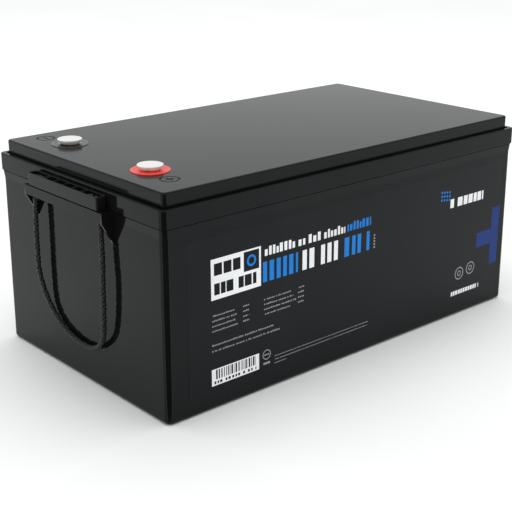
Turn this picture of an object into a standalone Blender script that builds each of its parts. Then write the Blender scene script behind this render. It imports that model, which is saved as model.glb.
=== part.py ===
"""Sealed 12.8 V lithium iron phosphate battery pack, metres, +Z up, long side on X, label on -Y.

A glossy moulded container with a collar band, a glued-in lid, two recessed-insert terminals with
white plugs, and one pull-up rope handle at each end wall.  Cells, busbars, board and cables inside.
"""
import math

import bmesh
import bpy
from mathutils import Matrix, Vector

MM = 0.001
GAP = 0.3 * MM

# container, outer sizes
BAND_LENGTH = 491.0 * MM
BAND_WIDTH = 279.0 * MM
BAND_RADIUS = 6.0 * MM
BAND_LOW_Z = 186.6 * MM
BAND_TOP_Z = 204.0 * MM
STEP_INSET = 1.3 * MM
STEP_HEIGHT = 0.8 * MM
FLARE_INSET = 0.7 * MM
FLARE_LOW_Z = 178.0 * MM
WALL_INSET = 1.6 * MM
FOOT_INSET = 0.6 * MM
FOOT_ROUND = 2.0 * MM
RIM_INSET = 4.7 * MM
LEDGE_Z = 197.0 * MM
CAVITY_INSET = 8.0 * MM
FLOOR_Z = 6.0 * MM
EDGE = 0.5 * MM

# lid
LID_INSET = 6.4 * MM
LID_TOP_Z = 217.4 * MM
LID_WALL = 4.0 * MM
LID_ROUND = 1.8 * MM
LID_RADIUS = 4.5 * MM
BEAD_HEIGHT = 3.6 * MM

# terminals
TERMINAL_X = -201.5 * MM
POSITIVE_Y = -63.0 * MM
NEGATIVE_Y = 73.0 * MM
RING_RADIUS = 18.7 * MM
RING_THICK = 1.6 * MM
RING_SEAT = 1.0 * MM
POST_RADIUS = 8.6 * MM
POST_LOW_Z = 205.0 * MM
POST_TOP_Z = 218.3 * MM
POST_FLANGE_RADIUS = 13.5 * MM
POST_FLANGE_HEIGHT = 3.0 * MM
BORE_RADIUS = 4.0 * MM
BORE_DEPTH = 9.0 * MM
SEAL_MINOR = 1.15 * MM
SEAL_MAJOR = 11.2 * MM
PLUG_RADIUS = 12.3 * MM
PLUG_NECK = 8.2 * MM
PLUG_TOP_Z = 223.2 * MM
PLUG_STEM = 3.4 * MM
PLUG_STEM_LENGTH = 7.0 * MM
NOTCH_WIDTH = 5.0 * MM
NOTCH_DEPTH = 2.4 * MM
MARK_X = -207.0 * MM
PLUS_Y = -99.5 * MM
MINUS_Y = 110.0 * MM
MARK_RADIUS = 9.5 * MM
MARK_LINE = 1.5 * MM
MARK_DEPTH = 0.6 * MM

# handle bracket and grip, measured outward from the end wall
SHELF_OUT = 13.6 * MM
SHELF_TOP_Z = 187.0 * MM
SHELF_THICK = 9.6 * MM
SHELF_HALF = 67.6 * MM
GUSSET_THICK = 2.5 * MM
GUSSET_LOW_Z = 153.0 * MM
GRIP_SHIFT = 3.0 * MM
GRIP_LENGTH = 120.0 * MM
GRIP_DEPTH = 10.8 * MM
GRIP_TOP_Z = 200.2 * MM
GRIP_WALL = 1.1 * MM
GRIP_FLOOR = 3.0 * MM
GRIP_RIB = 1.2 * MM
GRIP_RADIUS = 3.6 * MM
END_CELL_SHARE = 0.235
MIDDLE_CELLS = 4

# rope
ROPE_RADIUS = 2.6 * MM
ROPE_HOLE = 3.2 * MM
ROPE_HALF_SPAN = 55.2 * MM
ROPE_OUT = 7.6 * MM
ROPE_LOW_Z = 38.0 * MM
ROPE_STRAIGHT_Z = 100.0 * MM
ROPE_TURN = 4.0 * MM
ROPE_TAIL = 12.0 * MM
ROPE_STEPS = 28

# label film
LABEL_X0 = -220.0 * MM
LABEL_X1 = 236.0 * MM
LABEL_Z0 = 10.0 * MM
LABEL_Z1 = 170.0 * MM
LABEL_THICK = 0.3 * MM

# cells and pack
CELL_COUNT = 4
CELL_THICK = 54.0 * MM
CELL_WIDTH = 174.0 * MM
CELL_HEIGHT = 184.0 * MM
CELL_ROUND = 2.5 * MM
PACK_X0 = -100.0 * MM
FOAM_THICK = 5.0 * MM
SHEET_THICK = 1.4 * MM
POLE_Y = 60.0 * MM
POLE_RADIUS = 9.0 * MM
POLE_HEIGHT = 2.5 * MM
END_PLATE_THICK = 5.0 * MM
BUSBAR_WIDTH = 24.0 * MM
BUSBAR_THICK = 2.0 * MM
STRAP_THICK = 0.8 * MM
STRAP_WIDTH = 16.0 * MM
STRAP_LOW_Z = 48.0 * MM
STRAP_HIGH_Z = 150.0 * MM
SIDE_FOAM = 40.0 * MM
BOARD_X = -134.0 * MM
BOARD_THICK = 1.8 * MM
BOARD_WIDTH = 150.0 * MM
BOARD_HEIGHT = 92.0 * MM
BOARD_LOW_Z = 90.0 * MM
SINK_THICK = 5.0 * MM
CABLE_RADIUS = 4.0 * MM
HARNESS_RADIUS = 1.6 * MM

CORNER_STEPS = 6
ROUND_STEPS = 32

PARTS = None
CUTTERS = None


def clear_scene():
    for item in list(bpy.data.objects):
        bpy.data.objects.remove(item, do_unlink=True)
    for group in list(bpy.data.collections):
        bpy.data.collections.remove(group)


def make_collection(name):
    group = bpy.data.collections.new(name)
    bpy.context.scene.collection.children.link(group)
    return group


def material(name, color, roughness, metallic=0.0):
    shade = bpy.data.materials.new(name)
    shade.use_nodes = True
    shader = shade.node_tree.nodes["Principled BSDF"]
    shader.inputs["Base Color"].default_value = (*color, 1.0)
    shader.inputs["Roughness"].default_value = roughness
    shader.inputs["Metallic"].default_value = metallic
    return shade


def mesh_object(name, bm, shade=None, smooth=False):
    bmesh.ops.recalc_face_normals(bm, faces=bm.faces)
    for face in bm.faces:
        face.smooth = smooth
    data = bpy.data.meshes.new(name)
    bm.to_mesh(data)
    bm.free()
    item = bpy.data.objects.new(name, data)
    if shade is None:
        CUTTERS.objects.link(item)
        item.hide_render = True
        item.display_type = 'WIRE'
    else:
        PARTS.objects.link(item)
        data.materials.append(shade)
    return item


def rounded_loop(half_x, half_y, radius, z, center=(0.0, 0.0)):
    points = []
    for corner in range(4):
        sign_x = 1 if corner in (0, 3) else -1
        sign_y = 1 if corner in (0, 1) else -1
        for step in range(CORNER_STEPS + 1):
            angle = (corner + step / CORNER_STEPS) * math.pi / 2
            x = center[0] + sign_x * (half_x - radius) + radius * math.cos(angle)
            y = center[1] + sign_y * (half_y - radius) + radius * math.sin(angle)
            points.append(Vector((x, y, z)))
    return points


def loft(loops, closed=False):
    bm = bmesh.new()
    rings = [[bm.verts.new(point) for point in loop] for loop in loops]
    pairs = list(zip(rings[:-1], rings[1:]))
    if closed:
        pairs.append((rings[-1], rings[0]))
    for low, high in pairs:
        count = len(low)
        for index in range(count):
            after = (index + 1) % count
            bm.faces.new((low[index], low[after], high[after], high[index]))
    if not closed:
        bm.faces.new(list(reversed(rings[0])))
        bm.faces.new(rings[-1])
    return bm


def box_mesh(low, high):
    bm = bmesh.new()
    bmesh.ops.create_cube(bm, size=1.0)
    for vert in bm.verts:
        for axis in range(3):
            vert.co[axis] = high[axis] if vert.co[axis] > 0 else low[axis]
    return bm


def box(name, low, high, shade, bevel=0.0):
    item = mesh_object(name, box_mesh(low, high), shade)
    if bevel > 0:
        add_bevel(item, bevel)
    return item


def add_bevel(item, width, segments=2):
    modifier = item.modifiers.new("Bevel", 'BEVEL')
    modifier.width = width
    modifier.segments = segments
    modifier.limit_method = 'ANGLE'
    modifier.angle_limit = math.radians(40)


def add_boolean(item, other, operation):
    modifier = item.modifiers.new("Boolean", 'BOOLEAN')
    modifier.operation = operation
    modifier.solver = 'EXACT'
    modifier.object = other


def cylinder(name, center, radius, low, high, shade=None, steps=ROUND_STEPS):
    bm = bmesh.new()
    bmesh.ops.create_cone(bm, cap_ends=True, segments=steps,
                          radius1=radius, radius2=radius, depth=high - low)
    item = mesh_object(name, bm, shade)
    item.location = (center[0], center[1], (low + high) / 2)
    return item


def turned(name, center, profile, shade=None, closed=False, smooth=False):
    """Profile of (radius, height) points, from the top of the outer side down, turned about +Z."""
    bm = bmesh.new()
    verts = [bm.verts.new((radius, 0.0, z)) for radius, z in profile]
    for first, second in zip(verts[:-1], verts[1:]):
        bm.edges.new((first, second))
    if closed:
        bm.edges.new((verts[-1], verts[0]))
    item = mesh_object(name, bm, shade)
    item.location = (center[0], center[1], 0.0)
    screw = item.modifiers.new("Screw", 'SCREW')
    screw.axis = 'Z'
    screw.steps = ROUND_STEPS
    screw.render_steps = ROUND_STEPS
    screw.use_merge_vertices = True
    screw.merge_threshold = 0.00001
    screw.use_smooth_shade = smooth
    return item


def frame_ring(name, outer, inner, low, high, radius, shade, center=(0.0, 0.0)):
    inner_radius = max(radius - (outer[0] - inner[0]), 0.4 * MM)
    loops = [
        rounded_loop(outer[0], outer[1], radius, low, center),
        rounded_loop(outer[0], outer[1], radius, high, center),
        rounded_loop(inner[0], inner[1], inner_radius, high, center),
        rounded_loop(inner[0], inner[1], inner_radius, low, center),
    ]
    return mesh_object(name, loft(loops, closed=True), shade)


def tube(name, points, radius, shade):
    """Round bar or wire along the points, as a bevelled curve with filled ends."""
    data = bpy.data.curves.new(name, 'CURVE')
    data.dimensions = '3D'
    data.bevel_depth = radius
    data.bevel_resolution = 2
    data.use_fill_caps = True
    spline = data.splines.new('POLY')
    spline.points.add(len(points) - 1)
    for target, point in zip(spline.points, points):
        target.co = (*point, 1.0)
    data.materials.append(shade)
    item = bpy.data.objects.new(name, data)
    PARTS.objects.link(item)
    return item


def rounded_path(corners, bend, steps=6):
    """Poly-line through the corners with each inner corner replaced by a curved bend."""
    points = [corners[0]]
    for before, corner, after in zip(corners[:-2], corners[1:-1], corners[2:]):
        reach = min(bend, 0.48 * (corner - before).length, 0.48 * (after - corner).length)
        start = corner + (before - corner).normalized() * reach
        end = corner + (after - corner).normalized() * reach
        for step in range(steps + 1):
            t = step / steps
            points.append(start * (1 - t) ** 2 + corner * 2 * t * (1 - t) + end * t ** 2)
    points.append(corners[-1])
    return points


def half_sizes(inset):
    return BAND_LENGTH / 2 - inset, BAND_WIDTH / 2 - inset


def case_loop(inset, z, radius=BAND_RADIUS):
    half_x, half_y = half_sizes(inset)
    return rounded_loop(half_x, half_y, radius, z)


def build_case(shade):
    wall_radius = BAND_RADIUS + 0.6 * MM
    loops = [
        case_loop(FOOT_INSET + FOOT_ROUND, 0.0, wall_radius - FOOT_ROUND * 0.5),
        case_loop(FOOT_INSET + FOOT_ROUND * 0.3, FOOT_ROUND * 0.3, wall_radius),
        case_loop(FOOT_INSET, FOOT_ROUND, wall_radius),
        case_loop(WALL_INSET, FLARE_LOW_Z, wall_radius),
        case_loop(FLARE_INSET, BAND_LOW_Z - STEP_HEIGHT, wall_radius),
        case_loop(STEP_INSET, BAND_LOW_Z - STEP_HEIGHT, wall_radius - (STEP_INSET - FLARE_INSET)),
        case_loop(STEP_INSET, BAND_LOW_Z, wall_radius - (STEP_INSET - FLARE_INSET)),
        case_loop(0.0, BAND_LOW_Z),
        case_loop(0.0, BAND_TOP_Z - EDGE),
        case_loop(EDGE, BAND_TOP_Z),
        case_loop(RIM_INSET - EDGE * 0.6, BAND_TOP_Z, BAND_RADIUS - 1.5 * MM),
        case_loop(RIM_INSET, BAND_TOP_Z - EDGE * 0.6, BAND_RADIUS - 1.8 * MM),
        case_loop(RIM_INSET, LEDGE_Z, BAND_RADIUS - 1.8 * MM),
        case_loop(CAVITY_INSET, LEDGE_Z, BAND_RADIUS - 3.0 * MM),
        case_loop(CAVITY_INSET, FLOOR_Z, BAND_RADIUS - 3.0 * MM),
    ]
    case = mesh_object("case", loft(loops), shade)
    for side, word in ((-1, "terminal_end"), (1, "far_end")):
        bracket = build_bracket(side, word)
        add_boolean(case, bracket, 'UNION')
        for strand in (-1, 1):
            x, y = rope_hole(side, strand)
            hole = cylinder(f"cut_rope_{word}_{strand}", (x, y), ROPE_HOLE,
                            SHELF_TOP_Z - 2 * SHELF_THICK, SHELF_TOP_Z + 1 * MM)
            add_boolean(case, hole, 'DIFFERENCE')
    return case


def wall_x(side):
    return side * (BAND_LENGTH / 2 - WALL_INSET)


def build_bracket(side, word):
    inner = wall_x(side) - side * 3 * MM
    front = wall_x(side) + side * SHELF_OUT
    low = SHELF_TOP_Z - SHELF_THICK
    slope = 0.4 * MM
    stations = (
        (-SHELF_HALF, GUSSET_LOW_Z),
        (-SHELF_HALF + GUSSET_THICK, GUSSET_LOW_Z),
        (-SHELF_HALF + GUSSET_THICK + slope, low - 0.2 * MM),
        (SHELF_HALF - GUSSET_THICK - slope, low - 0.2 * MM),
        (SHELF_HALF - GUSSET_THICK, GUSSET_LOW_Z),
        (SHELF_HALF, GUSSET_LOW_Z),
    )
    loops = []
    for y, root in stations:
        root_inside = root - (low - root) * 3 * MM / SHELF_OUT
        along = y + grip_center_y(side)
        loops.append([
            Vector((inner, along, SHELF_TOP_Z)),
            Vector((front, along, SHELF_TOP_Z)),
            Vector((front, along, low)),
            Vector((inner, along, root_inside)),
        ])
    bracket = mesh_object(f"add_bracket_{word}", loft(loops))
    add_bevel(bracket, 0.7 * MM)
    return bracket


def grip_center_y(side):
    return -side * GRIP_SHIFT


def grip_center_x(side):
    return side * (BAND_LENGTH / 2 + 2 * GAP + GRIP_DEPTH / 2)


def slide_axis(side, word, movers):
    """Empty on the grip's pull axis that carries the grip and its rope."""
    axis = bpy.data.objects.new(f"slide_{word}", None)
    axis.location = (grip_center_x(side), grip_center_y(side), SHELF_TOP_Z)
    PARTS.objects.link(axis)
    for item in movers:
        item.parent = axis
        item.matrix_parent_inverse = Matrix.Translation(axis.location).inverted()


def rope_hole(side, strand):
    x = wall_x(side) + side * ROPE_OUT
    y = grip_center_y(side) + strand * ROPE_HALF_SPAN
    return x, y


def build_grip(side, word, shade):
    center = (grip_center_x(side), grip_center_y(side))
    half = (GRIP_DEPTH / 2, GRIP_LENGTH / 2)
    low = SHELF_TOP_Z + GAP
    edge = 0.6 * MM
    loops = [
        rounded_loop(half[0] - edge, half[1] - edge, GRIP_RADIUS - edge, low, center),
        rounded_loop(half[0], half[1], GRIP_RADIUS, low + edge, center),
        rounded_loop(half[0], half[1], GRIP_RADIUS, GRIP_TOP_Z - edge / 2, center),
        rounded_loop(half[0] - edge / 2, half[1] - edge / 2, GRIP_RADIUS - edge / 2, GRIP_TOP_Z, center),
    ]
    grip = mesh_object(f"grip_{word}", loft(loops), shade)
    spans = []
    end_share = GRIP_LENGTH * END_CELL_SHARE
    middle = (GRIP_LENGTH - 2 * end_share - GRIP_RIB) / MIDDLE_CELLS
    spans.append((-half[1] + GRIP_WALL * 1.6, -half[1] + end_share - GRIP_RIB))
    for cell in range(MIDDLE_CELLS):
        start = -half[1] + end_share + cell * middle
        spans.append((start + GRIP_RIB * 0.5, start + middle - GRIP_RIB * 0.5))
    spans.append((half[1] - end_share + GRIP_RIB, half[1] - GRIP_WALL * 1.6))
    for index, (start, end) in enumerate(spans):
        pocket_half = ((half[0] - GRIP_WALL), (end - start) / 2)
        pocket_center = (center[0], center[1] + (start + end) / 2)
        pocket = mesh_object(f"cut_pocket_{word}_{index}", loft([
            rounded_loop(pocket_half[0], pocket_half[1], 1.5 * MM, low + GRIP_FLOOR, pocket_center),
            rounded_loop(pocket_half[0], pocket_half[1], 1.5 * MM, GRIP_TOP_Z + 1 * MM, pocket_center),
        ]))
        add_boolean(grip, pocket, 'DIFFERENCE')
    for strand in (-1, 1):
        x, y = rope_hole(side, strand)
        hole = cylinder(f"cut_grip_hole_{word}_{strand}", (x, y), ROPE_HOLE,
                        low - 1 * MM, low + GRIP_FLOOR + 1 * MM)
        add_boolean(grip, hole, 'DIFFERENCE')
    return grip


def build_rope(side, word, shade):
    """One rope: a tail in each end cell, down through both holes, hanging as one open loop."""
    x, first_y = rope_hole(side, -1)
    last_y = rope_hole(side, 1)[1]
    tail_z = SHELF_TOP_Z + GAP + GRIP_FLOOR + ROPE_RADIUS + 1.8 * MM
    down = rounded_path([
        Vector((x, first_y + ROPE_TAIL, tail_z)),
        Vector((x, first_y, tail_z)),
        Vector((x, first_y, ROPE_STRAIGHT_Z)),
    ], ROPE_TURN)
    middle_y = (first_y + last_y) / 2
    loop = []
    for step in range(1, ROPE_STEPS):
        angle = math.pi * step / ROPE_STEPS
        y = middle_y - ROPE_HALF_SPAN * math.cos(angle)
        z = ROPE_STRAIGHT_Z - (ROPE_STRAIGHT_Z - ROPE_LOW_Z) * math.sin(angle)
        loop.append(Vector((x, y, z)))
    up = [Vector((x, last_y + first_y - point.y, point.z)) for point in reversed(down)]
    return tube(f"rope_{word}", down + loop + up, ROPE_RADIUS, shade)


def build_lid(shade):
    half_x, half_y = half_sizes(LID_INSET)
    low = LEDGE_Z + GAP
    inner = LID_WALL
    inner_radius = LID_RADIUS - 2 * MM
    rise = LID_ROUND
    loops = [
        rounded_loop(half_x - inner, half_y - inner, inner_radius, LID_TOP_Z - LID_WALL),
        rounded_loop(half_x - inner, half_y - inner, inner_radius, low),
        rounded_loop(half_x, half_y, LID_RADIUS, low),
        rounded_loop(half_x, half_y, LID_RADIUS, LID_TOP_Z - rise),
    ]
    for step in range(1, 4):
        angle = step / 3 * math.pi / 2
        inset = rise * (1 - math.cos(angle))
        lift = rise * math.sin(angle)
        loops.append(rounded_loop(half_x - inset, half_y - inset, LID_RADIUS - inset,
                                  LID_TOP_Z - rise + lift))
    lid = mesh_object("lid", loft(loops), shade)
    for y, word in ((POSITIVE_Y, "positive"), (NEGATIVE_Y, "negative")):
        center = (TERMINAL_X, y)
        seat = cylinder(f"cut_seat_{word}", center, RING_RADIUS + GAP, LID_TOP_Z - RING_SEAT,
                               LID_TOP_Z + 1 * MM)
        bore = cylinder(f"cut_post_{word}", center, POST_RADIUS + GAP, LID_TOP_Z - 3 * LID_WALL,
                               LID_TOP_Z + 1.5 * MM)
        add_boolean(lid, seat, 'DIFFERENCE')
        add_boolean(lid, bore, 'DIFFERENCE')
    for y, word in ((PLUS_Y, "plus"), (MINUS_Y, "minus")):
        center = (MARK_X, y)
        low_z = LID_TOP_Z - MARK_DEPTH
        high_z = LID_TOP_Z + 1 * MM
        inner = MARK_RADIUS - MARK_LINE
        profile = [(MARK_RADIUS, high_z), (MARK_RADIUS, low_z), (inner, low_z), (inner, high_z)]
        ring = turned(f"cut_ring_{word}", center, profile, closed=True)
        add_boolean(lid, ring, 'DIFFERENCE')
        arm = MARK_RADIUS * 0.55
        bar = mesh_object(f"cut_bar_{word}", box_mesh(
            (center[0] - MARK_LINE / 2, center[1] - arm, low_z),
            (center[0] + MARK_LINE / 2, center[1] + arm, high_z)))
        add_boolean(lid, bar, 'DIFFERENCE')
        if word == "plus":
            cross = mesh_object("cut_cross_plus", box_mesh(
                (center[0] - arm, center[1] - MARK_LINE / 2, low_z + 0.01 * MM),
                (center[0] + arm, center[1] + MARK_LINE / 2, high_z + 0.5 * MM)))
            add_boolean(lid, cross, 'DIFFERENCE')
    return lid


def build_terminal(y, word, ring_shade, brass, rubber, white):
    center = (TERMINAL_X, y)
    ring_low = LID_TOP_Z - RING_SEAT + GAP
    ring_high = ring_low + RING_THICK
    inner = POST_RADIUS + GAP
    turned(f"terminal_ring_{word}", center, [
        (RING_RADIUS, ring_high - EDGE),
        (RING_RADIUS, ring_low),
        (inner, ring_low),
        (inner, ring_high),
        (RING_RADIUS - EDGE, ring_high),
    ], ring_shade, closed=True)
    flange_high = POST_LOW_Z + POST_FLANGE_HEIGHT
    turned(f"terminal_post_{word}", center, [
        (0.0, POST_TOP_Z - BORE_DEPTH),
        (BORE_RADIUS, POST_TOP_Z - BORE_DEPTH),
        (BORE_RADIUS, POST_TOP_Z),
        (POST_RADIUS, POST_TOP_Z),
        (POST_RADIUS, flange_high),
        (POST_FLANGE_RADIUS, flange_high),
        (POST_FLANGE_RADIUS, POST_LOW_Z),
        (0.0, POST_LOW_Z),
    ], brass)
    seal_z = LID_TOP_Z - LID_WALL - GAP - SEAL_MINOR
    seal = []
    for step in range(10):
        angle = -step / 10 * 2 * math.pi
        seal.append((SEAL_MAJOR + SEAL_MINOR * math.cos(angle), seal_z + SEAL_MINOR * math.sin(angle)))
    turned(f"terminal_seal_{word}", center, seal, rubber, closed=True, smooth=True)
    neck_z = POST_TOP_Z + GAP * 2
    plug = turned(f"terminal_plug_{word}", center, [
        (0.0, PLUG_TOP_Z),
        (PLUG_RADIUS * 0.6, PLUG_TOP_Z),
        (PLUG_RADIUS - 0.6 * MM, PLUG_TOP_Z - 0.3 * MM),
        (PLUG_RADIUS, PLUG_TOP_Z - 1.2 * MM),
        (PLUG_RADIUS - 0.8 * MM, PLUG_TOP_Z - 2.2 * MM),
        (PLUG_NECK, neck_z),
        (PLUG_STEM, neck_z),
        (PLUG_STEM, POST_TOP_Z - PLUG_STEM_LENGTH),
        (0.0, POST_TOP_Z - PLUG_STEM_LENGTH),
    ], white)
    toward = Vector((-0.78, -0.62, 0.0)).normalized()
    middle = Vector((center[0], center[1], 0.0)) + toward * PLUG_RADIUS
    bm = box_mesh((-NOTCH_DEPTH, -NOTCH_WIDTH / 2, neck_z - 1 * MM),
                  (NOTCH_DEPTH, NOTCH_WIDTH / 2, PLUG_TOP_Z - 1.6 * MM))
    turn = Matrix.Rotation(math.atan2(toward.y, toward.x), 4, 'Z')
    bmesh.ops.transform(bm, matrix=Matrix.Translation(middle) @ turn, verts=bm.verts)
    add_boolean(plug, mesh_object(f"cut_notch_{word}", bm), 'DIFFERENCE')


def cell_pitch():
    return CELL_THICK + SHEET_THICK + 2 * GAP


def pack_low_z():
    return FLOOR_Z + GAP + FOAM_THICK + GAP


def cell_x(index):
    return PACK_X0 + index * cell_pitch() + CELL_THICK / 2


def build_cells(shades):
    low = pack_low_z()
    high = low + CELL_HEIGHT
    for index in range(CELL_COUNT):
        x = cell_x(index)
        cell = box(f"cell_{index + 1}", (x - CELL_THICK / 2, -CELL_WIDTH / 2, low),
                   (x + CELL_THICK / 2, CELL_WIDTH / 2, high), shades["cell"], CELL_ROUND)
        for sign in (-1, 1):
            pole = cylinder(f"add_pole_{index}_{sign}", (x, sign * POLE_Y), POLE_RADIUS,
                                   high - 2 * MM, high + POLE_HEIGHT)
            add_boolean(cell, pole, 'UNION')
        if index:
            sheet = x - CELL_THICK / 2 - GAP - SHEET_THICK
            box(f"cell_sheet_{index}", (sheet, -CELL_WIDTH / 2, low),
                (sheet + SHEET_THICK, CELL_WIDTH / 2, high),
                shades["sheet"])
    ends = pack_ends()
    for word, x in (("front", ends[0]), ("rear", ends[1] - END_PLATE_THICK)):
        box(f"end_plate_{word}", (x, -CELL_WIDTH / 2, low),
            (x + END_PLATE_THICK, CELL_WIDTH / 2, high - 10 * MM),
            shades["plate"], 1 * MM)
    bar_low = high + POLE_HEIGHT + GAP
    for index in range(CELL_COUNT - 1):
        y = POLE_Y if index % 2 == 0 else -POLE_Y
        box(f"busbar_{index + 1}", (cell_x(index) - 13 * MM, y - BUSBAR_WIDTH / 2, bar_low),
            (cell_x(index + 1) + 13 * MM, y + BUSBAR_WIDTH / 2, bar_low + BUSBAR_THICK),
            shades["copper"], 0.5 * MM)
    middle = (ends[0] + ends[1]) / 2
    inner = ((ends[1] - ends[0]) / 2 + GAP, CELL_WIDTH / 2 + GAP)
    outer = (inner[0] + STRAP_THICK, inner[1] + STRAP_THICK)
    for word, z in (("low", STRAP_LOW_Z), ("high", STRAP_HIGH_Z)):
        frame_ring(f"strap_{word}", outer, inner, z, z + STRAP_WIDTH, 1.4 * MM,
                   shades["strap"], (middle, 0.0))


def pack_ends():
    low = PACK_X0 - GAP - END_PLATE_THICK
    high = cell_x(CELL_COUNT - 1) + CELL_THICK / 2 + GAP + END_PLATE_THICK
    return low, high


def build_foam(shade):
    half_x, half_y = half_sizes(CAVITY_INSET + 2 * MM)
    box("foam_floor", (-half_x, -half_y, FLOOR_Z + GAP),
        (half_x, half_y, FLOOR_Z + GAP + FOAM_THICK), shade)
    low = pack_low_z()
    high = low + CELL_HEIGHT * 0.8
    ends = pack_ends()
    inner = CELL_WIDTH / 2 + GAP + STRAP_THICK + GAP
    box("foam_side_label", (ends[0], -inner - SIDE_FOAM, low), (ends[1], -inner, high), shade)
    box("foam_side_back", (ends[0], inner, low), (ends[1], inner + SIDE_FOAM, high), shade)
    box("foam_far_end", (ends[1] + GAP * 2 + STRAP_THICK, -CELL_WIDTH / 2, low),
        (half_x, CELL_WIDTH / 2, high), shade)


def build_electronics(shades):
    half = BOARD_WIDTH / 2
    high = BOARD_LOW_Z + BOARD_HEIGHT
    sink_x = BOARD_X + BOARD_THICK + GAP
    box("management_board", (BOARD_X, -half, BOARD_LOW_Z),
        (BOARD_X + BOARD_THICK, half, high), shades["board"])
    box("board_heat_sink", (sink_x, -half, BOARD_LOW_Z),
        (sink_x + SINK_THICK, half, high), shades["plate"], 1 * MM)
    cell_top = pack_low_z() + CELL_HEIGHT
    pole_top = cell_top + POLE_HEIGHT
    lift = 9.6 * MM
    clear = pole_top + GAP
    post_foot = POST_LOW_Z - GAP
    last = cell_x(CELL_COUNT - 1)
    aside = -POLE_Y - 30 * MM
    path = [Vector((last, -POLE_Y, clear)), Vector((last, -POLE_Y, pole_top + lift)),
            Vector((last, aside, pole_top + lift)),
            Vector((TERMINAL_X + 70 * MM, aside, pole_top + lift)),
            Vector((TERMINAL_X + 46 * MM, POSITIVE_Y, 190 * MM)),
            Vector((TERMINAL_X, POSITIVE_Y, 190 * MM)),
            Vector((TERMINAL_X, POSITIVE_Y, post_foot))]
    tube("cable_positive", rounded_path(path, 9 * MM), CABLE_RADIUS, shades["red_wire"])
    board_face = BOARD_X - GAP
    path = [Vector((board_face, NEGATIVE_Y - 20 * MM, 150 * MM)),
            Vector((TERMINAL_X, NEGATIVE_Y - 20 * MM, 150 * MM)),
            Vector((TERMINAL_X, NEGATIVE_Y, 175 * MM)), Vector((TERMINAL_X, NEGATIVE_Y, post_foot))]
    tube("cable_negative", rounded_path(path, 14 * MM), CABLE_RADIUS, shades["black_wire"])
    first = cell_x(0)
    path = [Vector((first, -POLE_Y, clear)), Vector((first, -POLE_Y, pole_top + 7 * MM)),
            Vector((first, -POLE_Y + 28 * MM, pole_top + 7 * MM)),
            Vector((BOARD_X - 14 * MM, -POLE_Y + 28 * MM, pole_top + 7 * MM)),
            Vector((BOARD_X - 14 * MM, -POLE_Y + 28 * MM, 160 * MM)),
            Vector((board_face, -POLE_Y + 28 * MM, 160 * MM))]
    tube("cable_board", rounded_path(path, 6 * MM), CABLE_RADIUS * 0.8, shades["black_wire"])
    path = [Vector((board_face, 10 * MM, 172 * MM)), Vector((BOARD_X - 8 * MM, 10 * MM, 172 * MM)),
            Vector((BOARD_X - 8 * MM, 10 * MM, cell_top + 4 * MM)),
            Vector((last, 10 * MM, cell_top + 4 * MM))]
    tube("balance_harness", rounded_path(path, 6 * MM), HARNESS_RADIUS, shades["yellow"])
    probe = (cell_x(1), 24 * MM)
    cylinder("temperature_probe", probe, 3 * MM, cell_top + GAP, cell_top + 3.5 * MM,
             shades["yellow"], 16)


def build_label(shade):
    face = -(BAND_WIDTH / 2 - FOOT_INSET) - GAP
    return box("label_film", (LABEL_X0, face - LABEL_THICK, LABEL_Z0), (LABEL_X1, face, LABEL_Z1), shade)


def build():
    global PARTS, CUTTERS
    clear_scene()
    PARTS = make_collection("battery_pack")
    CUTTERS = make_collection("cutters")
    gloss = material("gloss_black_abs", (0.012, 0.012, 0.013), 0.06)
    lid_gloss = material("lid_black_abs", (0.014, 0.014, 0.015), 0.06)
    grip_shade = material("grip_black", (0.02, 0.02, 0.021), 0.3)
    rope_shade = material("rope_black", (0.015, 0.015, 0.015), 0.7)
    red = material("ring_red", (0.75, 0.03, 0.03), 0.25)
    ring_black = material("ring_black", (0.02, 0.02, 0.02), 0.2)
    brass = material("brass", (0.8, 0.6, 0.28), 0.3, 1.0)
    rubber = material("seal_rubber", (0.02, 0.02, 0.02), 0.7)
    white = material("plug_white", (0.85, 0.85, 0.83), 0.35)
    bead = material("glue_black", (0.006, 0.006, 0.006), 0.5)
    film = material("label_film", (0.013, 0.013, 0.014), 0.12)
    foam = material("foam_grey", (0.1, 0.1, 0.11), 0.95)
    shades = {
        "cell": material("cell_blue", (0.05, 0.12, 0.35), 0.4),
        "sheet": material("insulation_card", (0.55, 0.5, 0.4), 0.8),
        "plate": material("aluminium", (0.7, 0.7, 0.72), 0.35, 1.0),
        "copper": material("copper", (0.8, 0.42, 0.25), 0.3, 1.0),
        "strap": material("steel_strap", (0.6, 0.6, 0.62), 0.35, 1.0),
        "board": material("board_green", (0.02, 0.18, 0.06), 0.5),
        "red_wire": material("wire_red", (0.6, 0.02, 0.02), 0.45),
        "black_wire": material("wire_black", (0.02, 0.02, 0.02), 0.45),
        "yellow": material("wire_yellow", (0.7, 0.55, 0.05), 0.5),
    }
    build_case(gloss)
    build_lid(lid_gloss)
    bead_outer = half_sizes(RIM_INSET + GAP)
    bead_inner = half_sizes(LID_INSET - GAP)
    frame_ring("glue_bead", bead_outer, bead_inner, LEDGE_Z + GAP, LEDGE_Z + GAP + BEAD_HEIGHT,
               LID_RADIUS + 0.6 * MM, bead)
    for side, word in ((-1, "terminal_end"), (1, "far_end")):
        grip = build_grip(side, word, grip_shade)
        rope = build_rope(side, word, rope_shade)
        slide_axis(side, word, (grip, rope))
    build_terminal(POSITIVE_Y, "positive", red, brass, rubber, white)
    build_terminal(NEGATIVE_Y, "negative", ring_black, brass, rubber, white)
    build_cells(shades)
    build_foam(foam)
    build_electronics(shades)
    build_label(film)


build()
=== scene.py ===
"""Looks for the sealed battery pack: glossy case, lid, rope handles, terminals and a generic label."""
import math

import bmesh
import bpy
from mathutils import Matrix, Vector


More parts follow.
